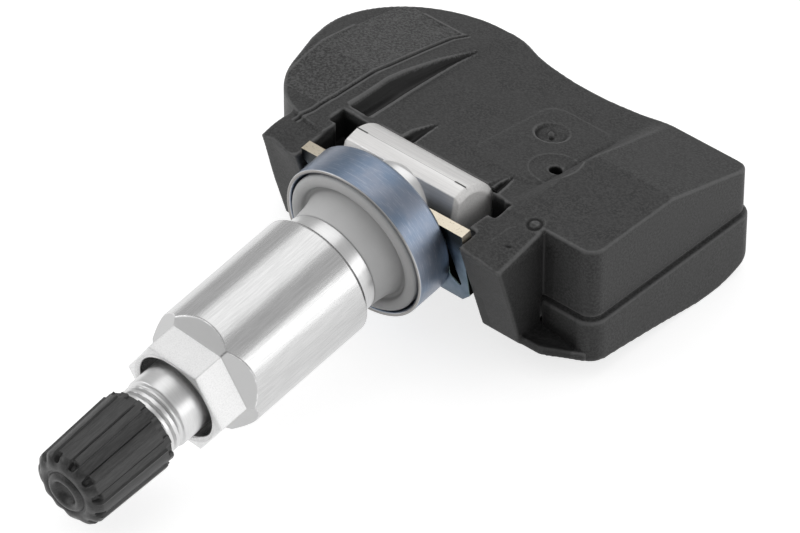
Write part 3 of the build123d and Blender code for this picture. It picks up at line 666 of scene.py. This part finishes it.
def moulded(node, voxel, passes, triangles, material, carve=None, dress=None):
    """A moulded piece: the node's solid with its edges rounded and spare faces taken out.

    carve changes the piece before its edges are rounded. dress changes the rounded mesh, and gives the shade and
    highlight painted on each vertex.
    """
    piece = cad_copy(node)
    if carve:
        carve(piece)
    modified(piece, "REMESH", mode="VOXEL", voxel_size=voxel * mm)
    relaxed(piece.data, passes)
    shade = dress(piece.data) if dress else 0.0
    # The wear attribute holds the convex edges' wear and the hollows' painted shade, plus the dress's painted shade
    # and highlights
    wear_and_shade = np.clip(edge_wear_and_crease_shade(piece.data, voxel) + shade, -1.0, 1.0)
    dense = KDTree(len(piece.data.vertices))
    for index, vertex in enumerate(piece.data.vertices):
        dense.insert(vertex.co, index)
    dense.balance()
    modified(piece, "DECIMATE", ratio=triangles / sum(len(face.vertices) - 2 for face in piece.data.polygons))
    kept = [wear_and_shade[dense.find(vertex.co)[1]] for vertex in piece.data.vertices]
    piece.data.attributes.new("wear_and_shade", "FLOAT", "POINT").data.foreach_set("value", kept)
    piece.data.materials.append(material)
    piece.data.shade_smooth()
    return piece


# Housing and base cover

def carve_housing(piece):
    """Cuts the pockets, closes the slot in each ear's front, and adds the web at the right ear's foot."""
    for low, high in pockets:
        cut_box(piece, low, high)
    slot_inner, slot_outer, slot_rear, slot_low, slot_high = 11.1, 13.2, 0.6, -9.9, 1.6
    front_y, front_slope, web_depth = -4.416, 0.311, 1.1
    profile = [(front_y - front_slope * slot_low, slot_low), (front_y - front_slope * slot_high, slot_high),
               (slot_rear, slot_high), (slot_rear, slot_low)]
    for hand in (1, -1):
        add_prism(piece, *[[(hand * side, y, z) for y, z in profile] for side in (slot_inner, slot_outer)])
    add_prism(piece, [(x, y, z - web_depth) for x, y, z in web], web)


def smooth(value):
    value = np.clip(value, 0.0, 1.0)
    return value * value * (3 - 2 * value)


def crest(offset, width):
    """1 on a line, falling to 0 at its width."""
    return np.clip(1 - (offset / width) ** 2, 0.0, 1.0) ** 2


def beside_line(points, x, y, soft=0.4):
    """How far right of a line a place is, and 1 between the line's ends."""
    xs, ys = zip(*points)
    reach = smooth((y - ys[0]) / soft + 0.5) * smooth((ys[-1] - y) / soft + 0.5)
    return x - np.interp(y, ys, xs), reach


def scoop(x, y, high, low, depths):
    """A hollow between two lines: steep from the first, shallow towards the second, with a small step there; with a
    painted highlight along its rims and painted shade down in it.
    """
    high_xs, ys = zip(*high)
    low_xs, low_ys = zip(*low)
    left = np.interp(y, ys, high_xs)
    width = np.maximum(np.interp(y, low_ys, low_xs) + 0.001 - left, 0.05)
    share = (x - left) / width
    floor = smooth(share / 0.3) * (1 - 0.55 * smooth((share - 0.3) / 0.6)) * smooth((1.02 - share) / 0.13)
    depth = np.interp(y, ys, depths, left=0.0, right=0.0)
    rim = crest(share + 0.06, 0.1) + crest(share - 1.07, 0.12)
    ends = smooth((y - ys[0]) / 0.25) * (y < ys[-1])
    dark = smooth((share - 0.02) / 0.1) * (1 - 0.6 * smooth((share - 0.25) / 0.7)) * smooth((1.0 - share) / 0.08)
    lift = (0.08 * rim * (width > 0.4) - floor * depth) * ends
    return lift, (0.8 * rim * (width > 0.2) - 1.5 * dark * smooth(depth / 0.3)) * ends


def roof_relief(x, y):
    """Heights of the lines, hollows and marks pressed into the housing's roof, with painted highlights on ridges,
    rims and the ear's fold, and painted shade in hollows, grooves, the pit and the slit.
    """
    # The double ridge on the patch's right, and the single one on its left and rear
    offset, reach = beside_line(patch_edge, x, y)
    lines = crest(offset, 0.22) + 0.8 * crest(offset - 0.6, 0.2)
    between = crest(offset - 0.3, 0.2)
    lift = reach * (0.13 * lines - 0.1 * between)
    # Painted highlight on the ridge lines, painted shade between them
    shade = reach * (0.6 * lines - 0.3 * between)
    offset, reach = beside_line(patch_left, x, y)
    in_patch = smooth((x + 19.8) / 0.6) * smooth((-13.7 - x) / 0.4)
    lines = reach * crest(offset, 0.25) + in_patch * crest(y - patch_y[1], 0.28)
    lift += 0.1 * lines
    shade += 0.4 * lines
    # Painted shade down in each hollow, painted highlight along its rims
    for high, low, depths in scoops:
        depth, dark = scoop(x, y, high, low, depths)
        lift += depth
        shade += dark
    # Rings round the port and the dimple, the marks in the dimple, and those on the right ear
    from_port = np.hypot(x - port_place[0], y - port_place[1])
    from_dimple = np.hypot(x - dimple_place[0], y - dimple_place[1])
    rings = crest(from_port - 2.85, 0.22) + 0.5 * crest(from_dimple - 1.95, 0.3)
    lift += 0.05 * rings - 0.05 * smooth((2.75 - from_port) / 0.2)
    # Painted highlight on the rings
    shade += 0.13 * rings
    gate = crest(np.hypot(x - dimple_place[0] + 0.1, y - dimple_place[1]), 0.45)
    pit = crest(np.hypot(x - dimple_place[0] - 0.35, y - dimple_place[1] + 0.45), 0.3)
    mark = crest(np.hypot(x - ear_mark_place[0], y - ear_mark_place[1]) - 0.72, 0.25)
    lift += 0.45 * gate - 0.3 * pit - 0.16 * mark
    # Painted highlight on the gate mark, painted shade in the pit and in the ear's ring mark
    shade += 0.8 * gate - 0.8 * pit - 0.6 * mark
    offset, reach = beside_line(ear_fold, x, y)
    # Painted highlight along the ear's fold
    shade += 0.5 * reach * crest(offset, 0.2)
    slit_x, slit_y = x - ear_slit_place[0], y - ear_slit_place[1]
    slit = crest(slit_y * 0.88 - slit_x * 0.47, 0.16) * crest(slit_x * 0.88 + slit_y * 0.47, 0.55)
    lift -= 0.15 * slit
    # Painted shade in the slit
    shade -= 0.8 * slit
    return lift, shade


def dress_housing(mesh):
    """Draws up the left ear's front outer corner, lifts the roof's vertices by the relief, and gives the relief's
    painted shade and highlights.
    """
    corner_rise, ear_rear, ear_roof = 0.9, 2.3, 0.9
    roof_from, roof_height, roof_fall = 4.0, 1.9, 0.1372
    places = mesh_array(mesh.vertices, "co", 3)
    x, y, z = from_pivot(places)
    corner = smooth((-11.8 - x) / 3.2) * smooth((2.0 - y) / 5.5) * smooth((z + 5.0) / 6.0)
    places[:, 2] += corner_rise * corner * mm
    move_vertices(mesh, places)
    places = mesh_array(mesh.vertices, "co", 3)
    x, y, z = from_pivot(places)
    upward = mesh_array(mesh.vertices, "normal", 3)[:, 2] > 0.3
    on_roof = upward & (z > np.where(y < ear_rear, ear_roof, roof_height - roof_fall * (y - roof_from)))
    lift, shade = roof_relief(x, y)
    places[:, 2] += np.where(on_roof, lift, 0.0) * mm
    move_vertices(mesh, places)
    return np.where(on_roof, shade, 0.0)


housing_shade = case_plastic("case_plastic_marked", True)
cover_shade = case_plastic("case_plastic", False)
housing = moulded("housing", 0.13, 6, 190000, housing_shade, carve_housing, dress_housing)
stand_in(housing, "housing", "sensor_unit")
stand_in(moulded("base_cover", 0.15, 5, 110000, cover_shade), "base_cover", "sensor_unit")


# Valve stem: foot, shank, neck and thread

def foot_mesh():
    """The foot's vertices and faces: its section, drawn in at both ends."""
    chamfer, inward, arc_steps = 0.5, 0.8, 40
    strip_front, strip_half, nose, nose_half = 0.76, 4.5, 2.55, 0.75
    corner = Vector((foot_strip, sqrt(foot_radius**2 - foot_strip**2)))
    start = atan2(corner.y, corner.x)
    section = [Vector((strip_front, strip_half)), corner]
    for step in range(1, arc_steps):
        angle = start + (2 * pi - 2 * start) * step / arc_steps
        section.append(Vector((cos(angle), sin(angle))) * foot_radius)
    section += [Vector((foot_strip, -corner.y)), Vector((strip_front, -strip_half)), Vector((nose, -nose_half)),
                Vector((nose, nose_half))]
    end_share = 1 - inward / foot_radius
    stations = [(-foot_half, end_share), (-foot_half + chamfer, 1.0), (foot_half - chamfer, 1.0),
                (foot_half, end_share)]
    vertices = []
    for x, share in stations:
        for point in section:
            vertices.append(pivot + (right * x + along * point.x * share + valve_up * point.y * share) * mm)
    count = len(section)
    last = (len(stations) - 1) * count
    faces = []
    for low in range(0, last, count):
        for index in range(count):
            follow = (index + 1) % count
            faces.append((low + index, low + follow, low + count + follow, low + count + index))
    faces.append(tuple(range(count)))
    faces.append(tuple(reversed(range(last, last + count))))
    return vertices, faces


def thread_radius(distance, angle):
    """The tip thread's surface: 32 turns to the inch, run out at both ends."""
    first, last, groove_half = 38.2, 48.6, 0.24
    turn = (distance / thread_pitch - angle / (2 * pi)) % 1.0
    groove = max(0.0, 1 - abs(turn - 0.5) / groove_half)
    fade = min(max((distance - first) / 0.35, 0.0), 1.0) * min(max((last - distance) / 0.4, 0.0), 1.0)
    return thread_crest - (thread_crest - thread_root) * groove * fade


def stem_rings():
    """The shank with its boss, the neck and the threaded tip as rings, and back through the bore."""
    rings_to_a_turn = 16
    neck_radius, boss_radius, core_radius, throat_radius, air_radius = 4.0, 4.95, 2.65, 2.05, 1.25
    outer = rounded([
        (shank_radius, 0.0), (shank_radius, 0.2), (boss_radius, 0.85), (boss_radius, 2.2), (shank_radius, 2.45),
        (shank_radius, 30.0), (neck_radius, 30.5), (neck_radius, 37.9), (3.62, 38.05), (3.62, 38.3),
    ], 0.12, closed=False)
    rings = as_rings(outer)
    distance = 38.45
    while distance < 48.5:
        rings.append((distance, lambda angle, d=distance: thread_radius(d, angle)))
        distance += thread_pitch / rings_to_a_turn
    return rings + as_rings([
        (3.7, 48.6), (3.45, tip_end), (2.75, tip_end), (core_radius, 48.8), (core_radius, 42.9),
        (throat_radius, 42.3), (throat_radius, 31.3), (air_radius, 30.5), (air_radius, 0.0),
    ])


def valve_stem():
    foot_points, foot_faces = foot_mesh()
    stem = new_piece("stem_shown", foot_points, foot_faces, foot_metal(), sharp=20.0)
    bevelled(stem, 18)
    vertices, faces = spun(stem_rings(), 120)
    neck_shade = satin_metal("neck_aluminium", 0.72, 0.32, line_depth=0.002)
    neck = new_piece("neck", vertices, faces, neck_shade, sharp=50.0)
    joined = bmesh.new()
    joined.from_mesh(stem.data)
    joined.from_mesh(neck.data)
    joined.faces.ensure_lookup_table()
    for face in joined.faces[len(stem.data.polygons):]:
        face.material_index = 1
    joined.to_mesh(stem.data)
    joined.free()
    stem.data.materials.append(neck_shade)
    stem.data.shade_smooth()
    stem.data.set_sharp_from_angle(angle=radians(40))
    bpy.data.objects.remove(neck)
    return stem


stand_in(valve_stem(), "valve_stem", "valve")


# Clip plate

def clip_outlines():
    """The plate's outline, bore and two windows as (x, height) points."""
    half, top, bottom, corner = 10.95, 3.55, -5.95, 1.0
    notch_height, notch, bore_steps = 1.6, 0.7, 96
    side = [(half, top), (half, notch_height + notch), (half - notch, notch_height), (half, notch_height - notch),
            (half, bottom + corner), (half - corner, bottom)]
    outline = side + [(-x, height) for x, height in reversed(side)]
    turns = [2 * pi * step / bore_steps for step in range(bore_steps)]
    bore = [(bore_radius * cos(turn), bore_radius * sin(turn)) for turn in turns]
    window = [(8.5, 1.75), (9.3, -1.0), (10.05, -3.7), (9.8, -4.0), (8.75, -3.35), (8.5, -3.0), (8.35, -0.4)]
    return [outline, bore, window, [(-x, height) for x, height in window]]


def clip_plate():
    work = bmesh.new()
    for outline in clip_outlines():
        points = [work.verts.new(pivot + (right * x + along * plate_rear + valve_up * height) * mm)
                  for x, height in outline]
        for index, point in enumerate(points):
            work.edges.new((points[index - 1], point))
    bmesh.ops.triangle_fill(work, use_beauty=True, use_dissolve=False, edges=work.edges[:])
    bmesh.ops.recalc_face_normals(work, faces=work.faces)
    swept = bmesh.ops.extrude_face_region(work, geom=work.faces[:])
    moved = [item for item in swept["geom"] if isinstance(item, bmesh.types.BMVert)]
    bmesh.ops.translate(work, verts=moved, vec=along * (plate_front - plate_rear) * mm)
    bmesh.ops.recalc_face_normals(work, faces=work.faces)
    mesh = bpy.data.meshes.new("clip_shown")
    work.to_mesh(mesh)
    work.free()
    mesh.materials.append(clip_metal())
    piece = add_object("clip_shown", mesh)
    bevelled(piece, 30)
    finish_mesh(piece.data, 30.0)
    return piece


stand_in(clip_plate(), "clip_plate", "valve")

# Ring, grommet and washer
ring = turned("ring_shown", [
    (bore_radius, plate_front), (8.7, plate_front), (9.1, 4.3), (9.1, 8.55), (9.0, ring_lip), (8.85, ring_lip),
    (8.6, 8.45), (8.6, ring_floor), (bore_radius, ring_floor),
], blued_metal(), soft=0.1)
stand_in(ring, "steel_ring", "valve")

grommet = turned("grommet_shown", [
    (bore_radius, ring_floor), (8.3, ring_floor), (8.36, 8.6), (8.1, 8.9), (7.6, 9.05), (7.15, 8.9), (6.9, 8.35),
    (6.6, 8.25), (6.35, 8.6), (6.15, 9.4), (6.0, 10.4), (5.85, 11.9), (bore_radius, 11.9),
], grommet_rubber(), soft=0.22, sharp=60.0)
stand_in(grommet, "grommet", "valve")

washer = turned("washer_shown", [
    (nut_bore, washer_rear), (5.9, washer_rear), (5.9, washer_front), (nut_bore, washer_front),
], satin_metal("washer_aluminium", 0.70, 0.3, speckle=0.75))
stand_in(washer, "nut_washer", "washer")


# Collar nut

def nut_outside(distance):
    """The nut's outline at a distance: the round body, cut by six flats and their ramps."""
    ramp_rise, ramp_run, rear_chamfer = 1.5, 1.6, 0.35
    flat = nut_flats + max(ramp_start - distance, 0.0) * ramp_rise / ramp_run
    body = nut_radius - rear_chamfer * max(0.0, 1 - (distance - nut_rear) / rear_chamfer)

    def radius(angle):
        turn = (degrees(angle) - hexagon_turn + 30) % 60 - 30
        return soft_min(body, flat / cos(radians(turn)), 0.1)
    return radius


def spread(start, end, pitch):
    """Even stations from start towards end, without the end."""
    count = max(1, round(abs(end - start) / pitch))
    return [start + (end - start) * index / count for index in range(count)]


def collar_nut():
    ramps_from, ramps_to, edge_start = 29.4, 32.0, 35.15
    core_room, seat_radius, seat_front = 4.85, 5.95, 14.45
    stations = [nut_rear, 14.12, 14.25, 14.4, 14.6] + spread(15, ramps_from, 1.5)
    stations += spread(ramps_from, ramps_to, 0.065) + spread(ramps_to, edge_start, 0.5) + [edge_start]
    rings = [(distance, nut_outside(distance)) for distance in stations]
    front = nut_outside(nut_front)
    for inset, distance in ((0.03, 35.24), (0.08, 35.28), (0.16, nut_front), (0.3, nut_front)):
        rings.append((distance, lambda angle, cut=inset: front(angle) - cut))
    rings += as_rings([
        (5.12, nut_front), (5.04, 35.28), (4.87, 35.1), (core_room, 35.0), (core_room, 30.7), (nut_bore, 30.4),
        (nut_bore, seat_front), (seat_radius, seat_front), (seat_radius, nut_rear),
    ])
    vertices, faces = spun(rings, 360)
    return new_piece("nut_shown", vertices, faces, nut_metal(), sharp=50.0)


stand_in(collar_nut(), "collar_nut", "nut")


# Valve cap

def peak(value, middle, half):
    """1 at a middle, falling evenly to 0 at half a width from it."""
    return max(0.0, 1 - abs(value - middle) / half)


def cap_outside(distance):
    """The cap's outline at a distance: ribs between flutes that end in deep notches at the front."""
    flute_phase, flute_side, flute_middle = 0.283, 0.05, 0.75
    notch_middle, notch_half, flutes_to, flutes_fade = 50.22, 0.5, 50.1, 0.7
    rear_radius, draft, length, collar_to, shoulder_from = 4.7, 0.33, 11.0, 40.95, 50.0
    base = rear_radius - draft * ((distance - cap_rear) / length)
    shoulder = max(0.0, distance - shoulder_from)
    base -= 0.95 * shoulder**2 + 0.1 * shoulder
    collar = max(0.0, 1 - max(0.0, distance - collar_to) / 0.12)

    def radius(angle):
        round_cap = Vector((cos(angle), sin(angle), 0.0))
        share = (angle * cap_flutes / (2 * pi) + flute_phase) % 1.0
        flute = min(max((share - 0.5) / flute_side, 0.0), 1.0) * min(max((1.0 - share) / flute_side, 0.0), 1.0)
        depth = 0.17 * flute - 0.06 * peak(share, 0.475, 0.03) + 0.14 * peak(share, 0.97, 0.035)
        depth *= max(0.0, 1 - max(0.0, distance - flutes_to) / flutes_fade)
        far = max(0.0, 1 - ((distance - notch_middle) / notch_half) ** 2)
        far *= max(0.0, 1 - ((share - flute_middle) / 0.2) ** 2)
        depth += (0.62 + 0.3 * noise.noise(round_cap * 3.3)) * min(far * 1.5, 1.0)
        lump = noise.noise(Vector((cos(angle), sin(angle), distance * 0.4)) * 3.4)
        depth += (0.2 * lump + 0.13 * cos(2 * pi * (share - flute_middle))) * min(shoulder * 1.5, 1.0)
        tooth = 1.0 if 0.05 < share < 0.62 else 0.0
        rear = 0.18 + 0.22 * tooth + 0.1 * noise.noise(round_cap * 7.0)
        return base - depth * (1 - collar) - rear * collar
    return radius


def valve_cap():
    front_edge, ceiling = 51.05, 49.79
    stations = [cap_rear, 40.36, 40.5] + spread(40.6, 41.2, 0.06) + spread(41.2, 48.8, 0.8)
    stations += spread(48.8, front_edge, 0.06)
    rings = [(distance, cap_outside(distance)) for distance in stations]
    rings += as_rings([
        (2.95, front_edge), (2.7, 51.0), (2.55, 50.84), (2.4, 50.84), (2.22, 51.08), (2.0, 51.27), (1.78, 51.3),
        (1.52, 51.22), (1.32, 50.95), (1.08, 50.58), (0.72, 50.36), (0.36, 50.3), (0.26, 50.0), (0.02, 50.0),
    ])
    inner_rings = as_rings([(4.3, cap_rear), (3.9, cap_rear), (3.9, 48.95), (3.68, ceiling), (0.02, ceiling)])
    outer_vertices, faces = spun(rings, cap_steps, closed=False)
    inner_vertices, inner_faces = spun(inner_rings, cap_steps, closed=False)
    offset = len(outer_vertices)
    faces += [tuple(index + offset for index in face) for face in inner_faces]
    for step in range(cap_steps):
        follow = (step + 1) % cap_steps
        faces.append((step, follow, offset + follow, offset + step))
    for first in (offset - cap_steps, offset + len(inner_vertices) - cap_steps):
        faces.append(tuple(range(first, first + cap_steps)))
    return new_piece("cap_shown", outer_vertices + inner_vertices, faces, cap_plastic(), sharp=40.0)


stand_in(valve_cap(), "valve_cap", "cap")

# Pieces inside keep their nodes and get their own finishes
black_rubber = plain("black_rubber", grey(0.022), 0.6)
brass = plain("core_brass", (0.62, 0.42, 0.18, 1), 0.3, metallic=1.0)
steel = plain("cell_steel", grey(0.6), 0.25, metallic=1.0)
nickel = plain("tab_nickel", grey(0.6, 0.04), 0.3, metallic=1.0)
copper = plain("copper", (0.60, 0.24, 0.11, 1), 0.3, metallic=1.0)
chip = plain("chip_plastic", grey(0.02), 0.5)
inner = {
    "cap_gasket": black_rubber, "core_gasket": black_rubber, "core_seal": black_rubber, "port_seal": black_rubber,
    "core_body": brass, "core_pin": brass,
    "core_spring": plain("spring_steel", grey(0.5), 0.3, metallic=1.0),
    "battery": steel, "crystal": steel,
    "battery_tab_upper": nickel, "battery_tab_lower": nickel,
    "circuit_board": plain("board", (0.012, 0.11, 0.035, 1), 0.4, depth=0.01),
    "sensor_chip": chip, "transmitter_chip": chip,
    "capacitors": plain("capacitor", (0.32, 0.22, 0.13, 1), 0.4),
    "coil_core": plain("ferrite", grey(0.03), 0.55),
    "coil_winding": copper, "antenna": copper,
}
for node, material in inner.items():
    mesh = frame["nodes"][node].data
    mesh.materials.clear()
    mesh.materials.append(material)


# Camera, lamps and stage, in metres

def set_camera():
    """The photograph's view of the valve's pivot."""
    azimuth, elevation, away = radians(41.8), radians(38.5), 0.6
    image_width, image_height, focal = 800, 533, 5880
    pivot_pixel = (409.4, 195.1)
    back = Vector((sin(azimuth) * cos(elevation), -cos(azimuth) * cos(elevation), sin(elevation)))
    across = Vector((cos(azimuth), sin(azimuth), 0))
    upward = back.cross(across)
    aim = pivot - across * (pivot_pixel[0] - image_width / 2) / focal * away
    aim -= upward * (image_height / 2 - pivot_pixel[1]) / focal * away
    data = bpy.data.cameras.new("camera")
    data.sensor_width = 36.0
    data.lens = focal / image_width * data.sensor_width
    data.clip_start = 0.05
    data.clip_end = 10.0
    camera = add_object("camera", data)
    camera.location = pivot + back * away
    camera.rotation_mode = "QUATERNION"
    camera.rotation_quaternion = (aim - camera.location).to_track_quat("-Z", "Y")
    bpy.context.scene.camera = camera


def add_lamp(name, offset, size, power):
    """A rectangular lamp that stands off from the object's middle and shines on it."""
    middle = Vector((0, 0, 0.012))
    place = middle + Vector(offset)
    data = bpy.data.lights.new(name, "AREA")
    data.shape = "RECTANGLE"
    data.size, data.size_y = size
    data.energy = power
    lamp = add_object(name, data)
    lamp.location = place
    lamp.rotation_mode = "QUATERNION"
    lamp.rotation_quaternion = (middle - place).to_track_quat("-Z", "Y")


def set_stage():
    """A pale floor that takes the object's shadow, and looks white to the camera and in gloss."""
    floor_colour, floor_glow = (0.5, 0.5, 0.5, 1), 0.75
    bpy.ops.mesh.primitive_plane_add(size=3.0, location=(0, 0, 0))
    floor = bpy.context.object
    floor.name = "floor"
    material = bpy.data.materials.new("floor")
    material.use_nodes = True
    nodes = Nodes(material.node_tree)
    nodes.tree.nodes.clear()
    diffuse = nodes.node("BsdfDiffuse")
    nodes.join(floor_colour, diffuse.inputs["Color"])
    glow = nodes.node("Emission")
    path = nodes.node("LightPath").outputs
    seen = nodes.math("MAXIMUM", path["Is Camera Ray"], path["Is Glossy Ray"])
    nodes.join(nodes.times(seen, floor_glow), glow.inputs["Strength"])
    both = nodes.node("AddShader")
    nodes.join(diffuse.outputs[0], both.inputs[0])
    nodes.join(glow.outputs[0], both.inputs[1])
    nodes.join(both.outputs[0], nodes.node("OutputMaterial").inputs["Surface"])
    floor.data.materials.append(material)


def set_world():
    """A plain pale studio, a little darker low down in front."""
    world = bpy.data.worlds.new("world")
    bpy.context.scene.world = world
    world.use_nodes = True
    nodes = Nodes(world.node_tree)
    split = nodes.node("SeparateXYZ")
    nodes.join(nodes.node("TexCoord").outputs["Generated"], split.inputs[0])
    level = nodes.node("MapRange")
    for name, value in (("From Min", -0.9), ("From Max", 0.3), ("To Min", 0.2), ("To Max", 0.57)):
        nodes.join(value, level.inputs[name])
    nodes.join(nodes.math("ADD", split.outputs[1], split.outputs[2]), level.inputs["Value"])
    background = nodes.tree.nodes["Background"]
    nodes.join(level.outputs["Result"], background.inputs["Strength"])
    nodes.join((1, 1, 1, 1), background.inputs["Color"])


set_camera()
set_stage()
add_lamp("lamp_over", (-0.22, 0.36, 0.90), (0.8, 0.8), 1.7)
add_lamp("lamp_right", (0.86, 0.45, 0.27), (0.75, 0.5), 1.65)
add_lamp("lamp_left", (-0.88, -0.2, 0.42), (0.6, 0.5), 1.0)
add_lamp("lamp_front", (-0.62, -0.62, 0.48), (0.6, 0.5), 1.2)
set_world()
bpy.context.scene.view_settings.view_transform = "Standard"
